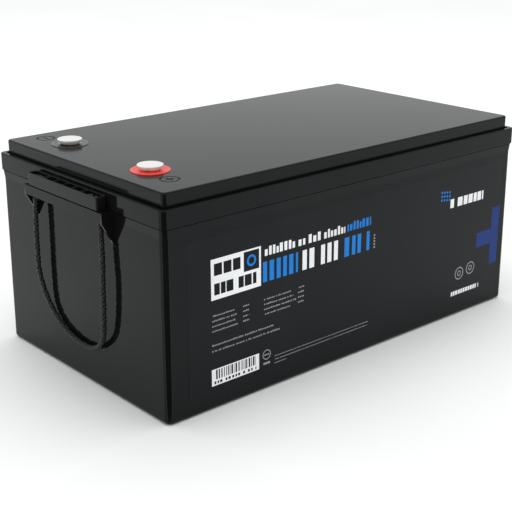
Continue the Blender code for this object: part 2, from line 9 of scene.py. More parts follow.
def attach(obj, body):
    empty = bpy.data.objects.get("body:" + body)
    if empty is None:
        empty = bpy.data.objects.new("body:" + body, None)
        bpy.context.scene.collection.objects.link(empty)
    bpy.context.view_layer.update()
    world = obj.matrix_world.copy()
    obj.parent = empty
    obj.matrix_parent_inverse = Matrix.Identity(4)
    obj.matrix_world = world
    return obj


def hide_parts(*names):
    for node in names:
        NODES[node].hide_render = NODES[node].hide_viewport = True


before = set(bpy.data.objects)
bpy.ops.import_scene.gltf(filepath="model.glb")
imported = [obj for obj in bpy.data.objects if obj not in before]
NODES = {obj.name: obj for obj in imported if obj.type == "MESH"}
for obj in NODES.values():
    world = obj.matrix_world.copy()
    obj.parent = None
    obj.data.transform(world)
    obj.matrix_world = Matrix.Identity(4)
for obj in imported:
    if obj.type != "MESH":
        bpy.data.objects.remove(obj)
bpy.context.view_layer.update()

MM = 0.001
LENGTH, WIDTH = 0.491, 0.279
BAND_TOP = 0.204
LID_TOP = 0.2174
SHELF_TOP = 0.187
SHELF_LOW = 0.1774
SHELF_OUT = 13.6 * MM
WALL_X = LENGTH / 2 - 1.6 * MM
ROPE_X = WALL_X + 7.6 * MM
ROPE_SPAN = 56 * MM
GRIP_HALF = (5.4 * MM, 60 * MM)
GRIP_X = LENGTH / 2 + 0.6 * MM + GRIP_HALF[0]
GRIP_SHIFT = 0.003
TERMINALS = {"positive": (-0.2015, -0.063), "negative": (-0.2015, 0.073)}
ENDS = ((-1, "terminal_end"), (1, "far_end"))
VIEW_AZIMUTH, VIEW_ELEVATION = 41.27, 19.34
CAMERA_AT = (-0.7628, -0.8486, 0.4716)
SENSOR_MM = 36.0
LENS_MM = SENSOR_MM * 1087.3 / 512
SKY_STRENGTH = 1.12
FLAG_REACH = (0.004, 0.95)
FLAG_LIFT = 0.0008


# ---------------------------------------------------------------- camera
def make_camera():
    cam = bpy.data.objects.new("camera", bpy.data.cameras.new("camera"))
    bpy.context.scene.collection.objects.link(cam)
    azimuth, elevation = math.radians(VIEW_AZIMUTH), math.radians(VIEW_ELEVATION)
    back = Vector((-math.sin(azimuth) * math.cos(elevation), -math.cos(azimuth) * math.cos(elevation),
                   math.sin(elevation)))
    cam.location = Vector(CAMERA_AT)
    cam.rotation_mode = 'QUATERNION'
    cam.rotation_quaternion = back.to_track_quat('Z', 'Y')
    cam.data.sensor_width = SENSOR_MM
    cam.data.lens = LENS_MM
    cam.data.clip_start = 0.05
    cam.data.clip_end = 30.0
    bpy.context.scene.camera = cam


# ---------------------------------------------------------------- materials
class Nodes:
    """Small helper over one material's node tree."""

    def __init__(self, name):
        self.material = bpy.data.materials.new(name)
        self.material.use_nodes = True
        self.tree = self.material.node_tree
        self.shader = self.tree.nodes["Principled BSDF"]
        self.coords = self.tree.nodes.new("ShaderNodeTexCoord")

    def add(self, kind, **values):
        node = self.tree.nodes.new(kind)
        for key, value in values.items():
            if key in node.inputs:
                node.inputs[key].default_value = value
            else:
                setattr(node, key, value)
        return node

    def link(self, out, into):
        self.tree.links.new(out, into)

    def noise(self, scale, detail=4.0, stretch=(1.0, 1.0, 1.0)):
        mapping = self.add("ShaderNodeMapping")
        mapping.inputs["Scale"].default_value = stretch
        self.link(self.coords.outputs["Object"], mapping.inputs["Vector"])
        node = self.add("ShaderNodeTexNoise", Scale=scale, Detail=detail)
        self.link(mapping.outputs["Vector"], node.inputs["Vector"])
        return node.outputs["Fac"]

    def ramp(self, fac, low, high, start=0.35, end=0.65):
        node = self.add("ShaderNodeValToRGB")
        node.color_ramp.elements[0].position = start
        node.color_ramp.elements[1].position = end
        node.color_ramp.elements[0].color = (*low, 1.0)
        node.color_ramp.elements[1].color = (*high, 1.0)
        self.link(fac, node.inputs["Fac"])
        return node.outputs["Color"]

    def spread(self, fac, low, high):
        node = self.add("ShaderNodeMapRange")
        node.inputs["To Min"].default_value = low
        node.inputs["To Max"].default_value = high
        self.link(fac, node.inputs["Value"])
        return node.outputs["Result"]

    def bump(self, height, strength, distance):
        node = self.add("ShaderNodeBump", Strength=strength, Distance=distance)
        self.link(height, node.inputs["Height"])
        self.link(node.outputs["Normal"], self.shader.inputs["Normal"])
        return node


def plastic(name, low, high, rough, wave=0.0, grain=900.0, ior=1.46, grain_depth=0.00002, level=0.5):
    """Moulded surface: faint tone drift, uneven gloss, fine grain, and slow waviness where asked."""
    n = Nodes(name)
    n.link(n.ramp(n.noise(14.0), low, high), n.shader.inputs["Base Color"])
    n.link(n.spread(n.noise(60.0), rough[0], rough[1]), n.shader.inputs["Roughness"])
    n.shader.inputs["IOR"].default_value = ior
    n.shader.inputs["Specular IOR Level"].default_value = level
    n.shader.inputs["Specular Tint"].default_value = (0.90, 0.985, 1.0, 1.0)
    if wave > 0:
        fine = n.bump(n.noise(grain, 2.0), 0.25, grain_depth)
        slow = n.add("ShaderNodeBump", Strength=0.5, Distance=wave)
        n.link(n.noise(9.0, 1.5), slow.inputs["Height"])
        n.link(slow.outputs["Normal"], fine.inputs["Normal"])
    else:
        n.bump(n.noise(grain, 3.0), 0.35, grain_depth)
    return n.material


def brushed(name, low, high, rough, stretch):
    n = Nodes(name)
    grain = n.noise(240.0, 5.0, stretch)
    n.link(n.ramp(grain, low, high), n.shader.inputs["Base Color"])
    n.link(n.spread(grain, rough[0], rough[1]), n.shader.inputs["Roughness"])
    n.shader.inputs["Metallic"].default_value = 1.0
    n.bump(grain, 0.3, 0.00003)
    return n.material


def foam_material():
    n = Nodes("foam")
    cells = n.add("ShaderNodeTexVoronoi", Scale=420.0)
    n.link(n.coords.outputs["Object"], cells.inputs["Vector"])
    n.link(n.ramp(cells.outputs["Distance"], (0.16, 0.16, 0.17), (0.05, 0.05, 0.055), 0.1, 0.7),
           n.shader.inputs["Base Color"])
    n.shader.inputs["Roughness"].default_value = 0.95
    n.bump(cells.outputs["Distance"], 0.7, 0.0006)
    return n.material


def rope_material():
    n = Nodes("rope_fibre")
    fibre = n.noise(1900.0, 3.0, (1.0, 1.0, 0.35))
    n.link(n.ramp(fibre, (0.002, 0.002, 0.002), (0.014, 0.015, 0.015)), n.shader.inputs["Base Color"])
    n.shader.inputs["Roughness"].default_value = 0.36
    n.shader.inputs["Specular IOR Level"].default_value = 0.35
    n.bump(fibre, 0.5, 0.0002)
    return n.material


MATERIALS = {
    "gloss": plastic("case_gloss_abs", (0.0050, 0.0050, 0.0053), (0.0064, 0.0064, 0.0068),
                     (0.05, 0.09), 0.00025, ior=1.45, level=0.17),
    "lid": plastic("lid_gloss_abs", (0.0050, 0.0051, 0.0052), (0.0066, 0.0067, 0.0069),
                   (0.10, 0.15), 0.00020, ior=1.50, level=0.15),
    "grip": plastic("grip_abs", (0.0055, 0.0055, 0.0058), (0.0085, 0.0085, 0.009), (0.14, 0.22),
                    level=0.20),
    "film": plastic("label_film", (0.0046, 0.0047, 0.0052), (0.0058, 0.0059, 0.0066), (0.07, 0.12),
                    0.00015, ior=1.45, level=0.19),
    "glue": plastic("black_epoxy", (0.002, 0.002, 0.002), (0.006, 0.006, 0.006), (0.35, 0.55),
                    grain=300.0),
    "red": plastic("red_ring", (0.74, 0.035, 0.03), (0.86, 0.055, 0.045), (0.25, 0.35)),
    "ring": plastic("black_ring", (0.010, 0.010, 0.010), (0.016, 0.016, 0.016), (0.12, 0.2)),
    "plug": plastic("white_plug", (0.72, 0.71, 0.69), (0.79, 0.78, 0.76), (0.35, 0.5)),
    "rubber": plastic("rubber", (0.012, 0.012, 0.012), (0.022, 0.022, 0.022), (0.6, 0.8)),
    "cell": plastic("cell_wrap_blue", (0.02, 0.07, 0.30), (0.03, 0.10, 0.38), (0.25, 0.4)),
    "card": plastic("insulation_card", (0.50, 0.44, 0.33), (0.62, 0.56, 0.44), (0.8, 0.95), grain=500.0),
    "board": plastic("circuit_board", (0.010, 0.13, 0.04), (0.02, 0.19, 0.07), (0.35, 0.55)),
    "red_wire": plastic("red_wire", (0.50, 0.015, 0.015), (0.62, 0.03, 0.03), (0.35, 0.5)),
    "black_wire": plastic("black_wire", (0.012, 0.012, 0.012), (0.02, 0.02, 0.02), (0.35, 0.5)),
    "yellow": plastic("yellow_wire", (0.62, 0.46, 0.03), (0.72, 0.56, 0.06), (0.4, 0.55)),
    "alloy": brushed("brushed_alloy", (0.60, 0.60, 0.62), (0.74, 0.74, 0.76), (0.25, 0.42), (1, 1, 12)),
    "steel": brushed("strap_steel", (0.48, 0.48, 0.50), (0.62, 0.62, 0.64), (0.3, 0.45), (1, 1, 10)),
    "copper": brushed("copper_bar", (0.74, 0.36, 0.20), (0.86, 0.46, 0.28), (0.22, 0.4), (12, 1, 1)),
    "brass": brushed("turned_brass", (0.72, 0.52, 0.20), (0.84, 0.64, 0.30), (0.2, 0.35), (1, 1, 14)),
    "white_ink": plastic("white_ink", (0.84, 0.85, 0.86), (0.92, 0.93, 0.94), (0.3, 0.4), level=0.12),
    "blue_ink": plastic("blue_ink", (0.009, 0.185, 0.60), (0.013, 0.215, 0.68), (0.25, 0.35),
                        level=0.12),
    "deep_blue_ink": plastic("deep_blue_ink", (0.011, 0.034, 0.17), (0.014, 0.042, 0.20),
                             (0.25, 0.35), level=0.12),
    "grey_ink": plastic("grey_ink", (0.24, 0.25, 0.26), (0.31, 0.32, 0.33), (0.3, 0.4), level=0.12),
    "dark_ink": plastic("dark_ink", (0.006, 0.006, 0.008), (0.011, 0.011, 0.013), (0.2, 0.3),
                        level=0.12),
    "foam": foam_material(),
    "rope": rope_material(),
}


# ---------------------------------------------------------------- mesh helpers
def finish_mesh(name, bm, key, body, smooth_angle=32.0):
    bmesh.ops.recalc_face_normals(bm, faces=bm.faces)
    data = bpy.data.meshes.new(name)
    bm.to_mesh(data)
    bm.free()
    data.shade_smooth()
    data.set_sharp_from_angle(angle=math.radians(smooth_angle))
    data.materials.append(MATERIALS[key])
    item = bpy.data.objects.new(name, data)
    bpy.context.scene.collection.objects.link(item)
    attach(item, body)
    return item


def flatten_normals(item):
    """Keeps the large flat faces truly flat beside their rounded edges."""
    modifier = item.modifiers.new("normals", 'WEIGHTED_NORMAL')
    modifier.weight = 100
    modifier.keep_sharp = True


def rounded_loop(half_x, half_y, radius, z, center=(0.0, 0.0), steps=14):
    points = []
    for corner in range(4):
        sign_x = 1 if corner in (0, 3) else -1
        sign_y = 1 if corner in (0, 1) else -1
        for step in range(steps + 1):
            angle = (corner + step / steps) * math.pi / 2
            points.append(Vector((center[0] + sign_x * (half_x - radius) + radius * math.cos(angle),
                                  center[1] + sign_y * (half_y - radius) + radius * math.sin(angle), z)))
    return points


def circle_loop(radius, z, center, steps=72):
    return [Vector((center[0] + radius * math.cos(2 * math.pi * s / steps),
                    center[1] + radius * math.sin(2 * math.pi * s / steps), z)) for s in range(steps)]


def loft(bm, loops, closed=False):
    rings = [[bm.verts.new(point) for point in loop] for loop in loops]
    pairs = list(zip(rings[:-1], rings[1:]))
    if closed:
        pairs.append((rings[-1], rings[0]))
    for low, high in pairs:
        for index in range(len(low)):
            after = (index + 1) % len(low)
            bm.faces.new((low[index], low[after], high[after], high[index]))
    if not closed:
        bm.faces.new(list(reversed(rings[0])))
        bm.faces.new(rings[-1])


def quarter(radius, steps):
    """(inset, lift) pairs round a quarter fillet, from its side to its top."""
    pairs = []
    for step in range(steps + 1):
        angle = math.radians(90) * step / steps
        pairs.append((radius * (1 - math.cos(angle)), radius * math.sin(angle)))
    return pairs


def add_bevel(item, width, segments):
    bevel = item.modifiers.new("bevel", 'BEVEL')
    bevel.width = width
    bevel.segments = segments
    bevel.limit_method = 'ANGLE'
    bevel.angle_limit = math.radians(35)


def cut(item, other_mesh):
    """Subtracts a closed bmesh from item and applies the result."""
    data = bpy.data.meshes.new("cutter")
    bmesh.ops.recalc_face_normals(other_mesh, faces=other_mesh.faces)
    other_mesh.to_mesh(data)
    other_mesh.free()
    cutter = bpy.data.objects.new("cutter", data)
    bpy.context.scene.collection.objects.link(cutter)
    modifier = item.modifiers.new("cut", 'BOOLEAN')
    modifier.operation = 'DIFFERENCE'
    modifier.solver = 'EXACT'
    modifier.object = cutter
    bpy.context.view_layer.update()
    result = bpy.data.meshes.new_from_object(item.evaluated_get(bpy.context.evaluated_depsgraph_get()))
    item.modifiers.clear()
    old = item.data
    item.data = result
    bpy.data.meshes.remove(old)
    bpy.data.objects.remove(cutter)
    result.set_sharp_from_angle(angle=math.radians(32))


# ---------------------------------------------------------------- ropes
def rope_route(side):
    """Loop of one rope in its own frame: (out from wall plane, along the wall, height)."""
    shown = [
        (7.6, 59.0, 196.0), (7.6, 59.0, 187.0), (7.8, 59.2, 177.0), (8.4, 59.9, 164.0),
        (9.0, 60.5, 149.0),
        (9.2, 60.8, 133.0), (9.2, 60.9, 117.0), (9.0, 60.8, 101.5), (8.0, 58.4, 87.4), (6.4, 55.0, 75.5),
        (4.9, 49.6, 64.4), (4.1, 41.4, 55.4), (4.0, 29.6, 47.6), (4.0, 14.2, 42.2), (4.2, -1.6, 39.6),
        (4.7, -18.2, 40.0), (5.6, -32.4, 44.2), (7.0, -43.2, 52.4), (8.1, -49.6, 62.6),
        (8.9, -52.6, 79.0),
        (9.2, -54.0, 99.0), (9.1, -54.4, 118.0), (8.2, -54.2, 136.4), (7.8, -53.6, 155.0),
        (7.6, -53.0, 172.0),
        (7.6, -53.0, 187.0), (7.6, -53.0, 196.0),
    ]
    return [Vector((side * (WALL_X + out * MM), -side * along * MM, height * MM)) for out, along,
            height in shown]


def smooth_line(points, spacing):
    """Catmull-Rom curve through the points, resampled at an even spacing."""
    dense = []
    last = len(points) - 1
    for index in range(last):
        a, b = points[max(index - 1, 0)], points[index]
        c, d = points[index + 1], points[min(index + 2, last)]
        for step in range(20):
            t = step / 20
            dense.append(0.5 * (2 * b + (c - a) * t + (2 * a - 5 * b + 4 * c - d) * t ** 2
                                + (3 * b - a - 3 * c + d) * t ** 3))
    dense.append(points[-1])
    total = sum((q - p).length for p, q in zip(dense[:-1], dense[1:]))
    count = max(2, round(total / spacing))
    line, travelled, index = [dense[0]], 0.0, 0
    for step in range(1, count):
        goal = total * step / count
        while travelled + (dense[index + 1] - dense[index]).length < goal:
            travelled += (dense[index + 1] - dense[index]).length
            index += 1
        span = (dense[index + 1] - dense[index]).length
        line.append(dense[index].lerp(dense[index + 1], (goal - travelled) / span))
    line.append(dense[-1])
    return line, total


def tube(bm, line, radius, sides):
    normal = (line[1] - line[0]).orthogonal().normalized()
    loops = []
    for index, point in enumerate(line):
        tangent = (line[min(index + 1, len(line) - 1)] - line[max(index - 1, 0)]).normalized()
        normal = (normal - tangent * normal.dot(tangent)).normalized()
        side = tangent.cross(normal)
        loops.append([point + radius * (math.cos(angle) * normal + math.sin(angle) * side)
                      for angle in (2 * math.pi * step / sides for step in range(sides))])
    loft(bm, loops)


def braid(name, line, radius, body, plait=12.6 * MM, strands=3):
    """Round plait: strands wind both ways about a core and pass over and under each other."""
    bm = bmesh.new()
    thick = radius * 0.40
    middle = radius * 0.55
    wave = radius * 0.17
    spacing = (line[1] - line[0]).length
    normal = (line[1] - line[0]).orthogonal().normalized()
    frames = []
    for index, point in enumerate(line):
        tangent = (line[min(index + 1, len(line) - 1)] - line[max(index - 1, 0)]).normalized()
        normal = (normal - tangent * normal.dot(tangent)).normalized()
        frames.append((point, normal, tangent.cross(normal)))
    tube(bm, line, radius * 0.55, 12)
    for way in (-1, 1):
        for strand in range(strands):
            route = []
            for index, (point, across, side) in enumerate(frames):
                turn = 2 * math.pi * index * spacing / plait
                angle = way * turn + 2 * math.pi * strand / strands
                reach = middle + wave * way * math.cos(strands * turn + math.pi * strand)
                route.append(point + reach * (math.cos(angle) * across + math.sin(angle) * side))
            tube(bm, route, thick, 8)
    return finish_mesh(name, bm, "rope", body, 70.0)


def make_ropes():
    for side, word in ENDS:
        line, length = smooth_line(rope_route(side), 0.7 * MM)
        rope = braid(f"braided_rope_{word}", line, 2.75 * MM, f"handle_{word}")
        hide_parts(f"rope_{word}")
        for strand in (-1, 1):
            y = -side * GRIP_SHIFT + strand * ROPE_SPAN
            inward = -strand
            tail = [Vector((side * GRIP_X, y + inward * along * MM, height * MM))
                    for along, height in ((2.0, 194.0), (5.0, 196.4), (9.0, 195.4), (13.0, 196.8),
                                          (17.0, 195.2),
                                          (20.0, 193.4))]
            tail_line = smooth_line(tail, 0.7 * MM)[0]
            braid(f"rope_tail_{word}_{'a' if strand > 0 else 'b'}", tail_line, 2.5 * MM,
                  f"handle_{word}")


# ---------------------------------------------------------------- container and lid
def case_loop(inset, z, radius=6.0 * MM):
    return rounded_loop(LENGTH / 2 - inset, WIDTH / 2 - inset, radius, z)


def make_case():
    bm = bmesh.new()
    wall = 6.6 * MM
    foot = 4.2 * MM
    loops = [case_loop(0.6 * MM + foot + 0.4 * MM, 0.0, wall - foot * 0.5)]
    for inset, lift in reversed(quarter(foot, 7)):
        loops.append(case_loop(0.6 * MM + inset, foot - lift, wall - inset * 0.5))
    loops += [
        case_loop(1.6 * MM, 0.1770, wall),
        case_loop(1.5 * MM, 0.1782, wall),
        case_loop(0.8 * MM, 0.1850, wall),
        case_loop(0.7 * MM, 0.18575, wall),
        case_loop(1.5 * MM, 0.1859, wall - 1 * MM),
        case_loop(1.5 * MM, 0.18655, wall - 1 * MM),
        case_loop(0.25 * MM, 0.18665, 6.0 * MM),
        case_loop(0.0, 0.1869, 6.0 * MM),
    ]
    for inset, lift in quarter(1.1 * MM, 5):
        loops.append(case_loop(inset, BAND_TOP - 1.1 * MM + lift, 6.0 * MM - inset))
    for inset, lift in reversed(quarter(0.5 * MM, 3)):
        loops.append(case_loop(4.7 * MM - inset, BAND_TOP - 0.5 * MM + lift, 4.4 * MM))
    loops += [case_loop(4.7 * MM, 0.197, 4.2 * MM), case_loop(8.0 * MM, 0.197, 3.0 * MM),
              case_loop(8.0 * MM, 0.006, 3.0 * MM)]
    loft(bm, loops)
    case = finish_mesh("gloss_case", bm, "gloss", "pack", 30.0)
    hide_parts("case")
    flatten_normals(case)
    for side, word in ENDS:
        make_bracket(side, word)


def make_bracket(side, word):
    """Shelf with a gusset at each end, softened edges, and two rope holes."""
    bm = bmesh.new()
    inner = side * (WALL_X - 1.2 * MM)
    front = side * (WALL_X + SHELF_OUT)
    half, thick = 67.6 * MM, 2.5 * MM
    drop = 153.0 * MM

    def ring(y, root):
        along = y - side * GRIP_SHIFT
        return [Vector((inner, along, SHELF_TOP)), Vector((front, along, SHELF_TOP)),
                Vector((front, along, SHELF_LOW)), Vector((inner, along, root))]

    root = drop - (SHELF_LOW - drop) * 1.2 / 13.6
    plate = SHELF_LOW - 0.1 * MM
    loft(bm, [ring(-half, root), ring(-half + thick, root), ring(-half + thick + 0.3 * MM, plate),
              ring(half - thick - 0.3 * MM, plate), ring(half - thick, root), ring(half, root)])
    item = finish_mesh(f"rope_bracket_{word}", bm, "gloss", "pack", 40.0)
    add_bevel(item, 0.45 * MM, 4)
    for strand in (-1, 1):
        center = (side * (ROPE_X + 0.8 * MM), -side * GRIP_SHIFT + strand * (ROPE_SPAN + 0.9 * MM))
        hole = bmesh.new()
        loft(hole, [circle_loop(4.6 * MM, SHELF_LOW - 30 * MM, center, 32),
                    circle_loop(4.6 * MM, SHELF_TOP + 1 * MM, center, 32)])
        cut(item, hole)
    flatten_normals(item)


def make_lid():
    half_x, half_y = LENGTH / 2 - 6.4 * MM, WIDTH / 2 - 6.4 * MM
    bm = bmesh.new()
    low = 0.1973
    loops = [rounded_loop(half_x - 4 * MM, half_y - 4 * MM, 2.5 * MM, LID_TOP - 4 * MM),
             rounded_loop(half_x - 4 * MM, half_y - 4 * MM, 2.5 * MM, low),
             rounded_loop(half_x, half_y, 4.5 * MM, low)]
    for inset, lift in quarter(1.8 * MM, 6):
        loops.append(rounded_loop(half_x - inset, half_y - inset, 4.5 * MM - inset,
                                  LID_TOP - 1.8 * MM + lift))
    loft(bm, loops)
    lid = finish_mesh("gloss_lid", bm, "lid", "pack", 30.0)
    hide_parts("lid")
    for center in TERMINALS.values():
        tool = bmesh.new()
        loft(tool, [circle_loop(8.9 * MM, LID_TOP - 12 * MM, center),
                    circle_loop(8.9 * MM, LID_TOP - 1 * MM, center),
                    circle_loop(19.0 * MM, LID_TOP - 1 * MM, center),
                    circle_loop(19.0 * MM, LID_TOP + 1 * MM, center)])
        cut(lid, tool)
    for y, cross in ((-0.0995, True), (0.110, False)):
        center = (-0.207, y)
        tool = bmesh.new()
        low, high = LID_TOP - 0.8 * MM, LID_TOP + 1 * MM
        loft(tool, [circle_loop(9.5 * MM, low, center), circle_loop(9.5 * MM, high, center),
                    circle_loop(7.9 * MM, high, center), circle_loop(7.9 * MM, low, center)],
             closed=True)
        cut(lid, tool)
        arms = [(5.2 * MM, 0.8 * MM, 0.0)] if cross else []
        arms.append((0.8 * MM, 5.2 * MM, 0.01 * MM))
        for along, across, lift in arms:
            tool = bmesh.new()
            bmesh.ops.create_cube(tool, size=1.0)
            scale = Matrix.Diagonal((2 * along, 2 * across, high - low, 1.0))
            place = Matrix.Translation((center[0], center[1], (low + high) / 2 + lift))
            bmesh.ops.transform(tool, matrix=place @ scale, verts=tool.verts)
            cut(lid, tool)
    flatten_normals(lid)


# ---------------------------------------------------------------- grips
def make_grip(side, word):
    center = (side * GRIP_X, -side * GRIP_SHIFT)
    half = GRIP_HALF
    low, high = SHELF_TOP + 0.3 * MM, 0.2002
    bm = bmesh.new()
    loops = []
    for inset, lift in reversed(quarter(0.8 * MM, 4)):
        loops.append(rounded_loop(half[0] - inset, half[1] - inset, 2.2 * MM - inset,
                                  low + 0.8 * MM - lift, center))
    for inset, lift in quarter(0.4 * MM, 3):
        loops.append(rounded_loop(half[0] - inset, half[1] - inset, 2.2 * MM - inset,
                                  high - 0.4 * MM + lift, center))
    loft(bm, loops)
    grip = finish_mesh(f"pull_grip_{word}", bm, "grip", f"handle_{word}", 30.0)
    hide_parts(f"grip_{word}")
    share = 2 * half[1] * 0.235
    middle = (2 * half[1] - 2 * share - 1.2 * MM) / 4
    spans = [(-half[1] + 1.6 * MM, -half[1] + share - 1.2 * MM),
             (half[1] - share + 1.2 * MM, half[1] - 1.6 * MM)]
    for cell in range(4):
        start = -half[1] + share + cell * middle
        spans.append((start + 0.6 * MM, start + middle - 0.6 * MM))
    for start, end in spans:
        tool = bmesh.new()
        pocket = (center[0], center[1] + (start + end) / 2)
        size = (half[0] - 1.1 * MM, (end - start) / 2)
        loft(tool, [rounded_loop(size[0], size[1], 1.5 * MM, low + 3 * MM, pocket, 6),
                    rounded_loop(size[0], size[1], 1.5 * MM, high + 1 * MM, pocket, 6)])
        cut(grip, tool)
    add_bevel(grip, 0.3 * MM, 2)
    flatten_normals(grip)


# ---------------------------------------------------------------- terminals
def make_terminals():
    for word, center in TERMINALS.items():
        base = LID_TOP - (0.7 if word == "positive" else 1.0) * MM
        bm = bmesh.new()
        loops = [circle_loop(8.9 * MM, base, center), circle_loop(18.7 * MM, base, center)]
        for inset, lift in quarter(0.6 * MM, 4):
            loops.append(circle_loop(18.7 * MM - inset, base + 1.0 * MM + lift, center))
        loops += [circle_loop(15.4 * MM, base + 1.6 * MM, center),
                  circle_loop(15.0 * MM, base + 1.3 * MM, center),
                  circle_loop(9.4 * MM, base + 1.3 * MM, center),
                  circle_loop(8.9 * MM, base + 1.6 * MM, center)]
        loft(bm, loops, closed=True)
        key = "red" if word == "positive" else "ring"
        ring = finish_mesh(f"flange_ring_{word}", bm, key, "pack")
        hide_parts(f"terminal_ring_{word}")
        bm = bmesh.new()
        top = 0.2232
        loops = [circle_loop(3.4 * MM, 0.2113, center), circle_loop(3.4 * MM, 0.21845, center),
                 circle_loop(9.1 * MM, 0.21845, center)]
        for reach, height in ((9.6, 0.21865), (10.4, 0.2194), (11.1, 0.2202), (11.7, 0.2211),
                              (12.1, 0.2219)):
            loops.append(circle_loop(reach * MM, height, center))
        for inset, lift in quarter(0.6 * MM, 5):
            loops.append(circle_loop(12.3 * MM - inset, top - 0.7 * MM + lift, center))
        loops += [circle_loop(11.1 * MM, top - 0.15 * MM, center),
                  circle_loop(10.2 * MM, top - 0.75 * MM, center),
                  circle_loop(8.8 * MM, top - 1.05 * MM, center),
                  circle_loop(2.0 * MM, top - 1.15 * MM, center)]
        loft(bm, loops)
        plug = finish_mesh(f"white_plug_{word}", bm, "plug", "pack")
        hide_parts(f"terminal_plug_{word}")
        toward = Vector((-0.78, -0.62, 0.0)).normalized()
        tool = bmesh.new()
        bmesh.ops.create_cube(tool, size=1.0)
        turn = Matrix.Rotation(math.atan2(toward.y, toward.x), 4, 'Z')
        place = Matrix.Translation(Vector((*center, 0.2187)) + toward * 10.0 * MM)
        scale = Matrix.Diagonal((5.6 * MM, 5.2 * MM, 2.0 * MM, 1.0))
        bmesh.ops.transform(tool, matrix=place @ turn @ scale, verts=tool.verts)
        cut(plug, tool)


# ---------------------------------------------------------------- printed label
def label_y(z, lift=0.0):
    """Outer face of the printed film over the tapering wall, at height z in metres."""
    inset = 0.6 * MM + 1.0 * MM * (z - 0.002) / 0.175
    return -(WIDTH / 2 - inset + 0.12 * MM + lift * MM)


def make_film():
    bm = bmesh.new()
    x0, x1, z0, z1, radius = -0.220, 0.2306, 0.010, 0.170, 1.5 * MM
    outline = rounded_loop((x1 - x0) / 2, (z1 - z0) / 2, radius, 0.0, ((x0 + x1) / 2, (z0 + z1) / 2), 6)
    loft(bm, [[Vector((p.x, label_y(p.y) + back, p.y)) for p in outline] for back in (0.10 * MM, 0.0)])
    film = finish_mesh("printed_film", bm, "film", "pack")
    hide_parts("label_film")


def print_blocks(name, key, blocks, lift=0.0):
    """Flat printed marks on the film, each (x0, x1, z0, z1) in millimetres, 0.04 mm thick."""
    bm = bmesh.new()
    for x0, x1, z0, z1 in blocks:
        made = bmesh.ops.create_cube(bm, size=1.0)["verts"]
        for vert in made:
            z = (z1 if vert.co.z > 0 else z0) * MM
            out = lift + (0.0 if vert.co.y > 0 else 0.04)
            vert.co = Vector(((x1 if vert.co.x > 0 else x0) * MM, label_y(z, out), z))
    return finish_mesh(name, bm, key, "pack")


def greeked(x0, x1, z0, z1, pitch, gap=0.22, seed=3, low=1.0):
    """A line of unreadable type: upright blocks of uneven width and height standing in for letters."""
    blocks = []
    x, index = x0, seed
    while x < x1 - 0.25 * pitch:
        index = (index * 37 + 11) % 101
        width = pitch * (0.72 + 0.5 * (index / 100))
        if index % 7 == 0:
            x += pitch * 0.55
        end = min(x + width * (1 - gap), x1)
        blocks.append((x, end, z0, z1 if index % 3 == 0 else z0 + low * (z1 - z0)))
        x += width
    return blocks


def ring_mark(name, key, center, radius, line, lift=0.0):
    bm = bmesh.new()
    loops = []
    for reach, depth in ((radius, 0.0), (radius, 0.04), (radius - line, 0.04), (radius - line, 0.0)):
        loop = []
        for step in range(48):
            angle = 2 * math.pi * step / 48
            z = (center[1] + reach * math.sin(angle)) * MM
            loop.append(Vector(((center[0] + reach * math.cos(angle)) * MM,
                                label_y(z, depth + lift), z)))
        loops.append(loop)
    loft(bm, loops, closed=True)
    return finish_mesh(name, bm, key, "pack")


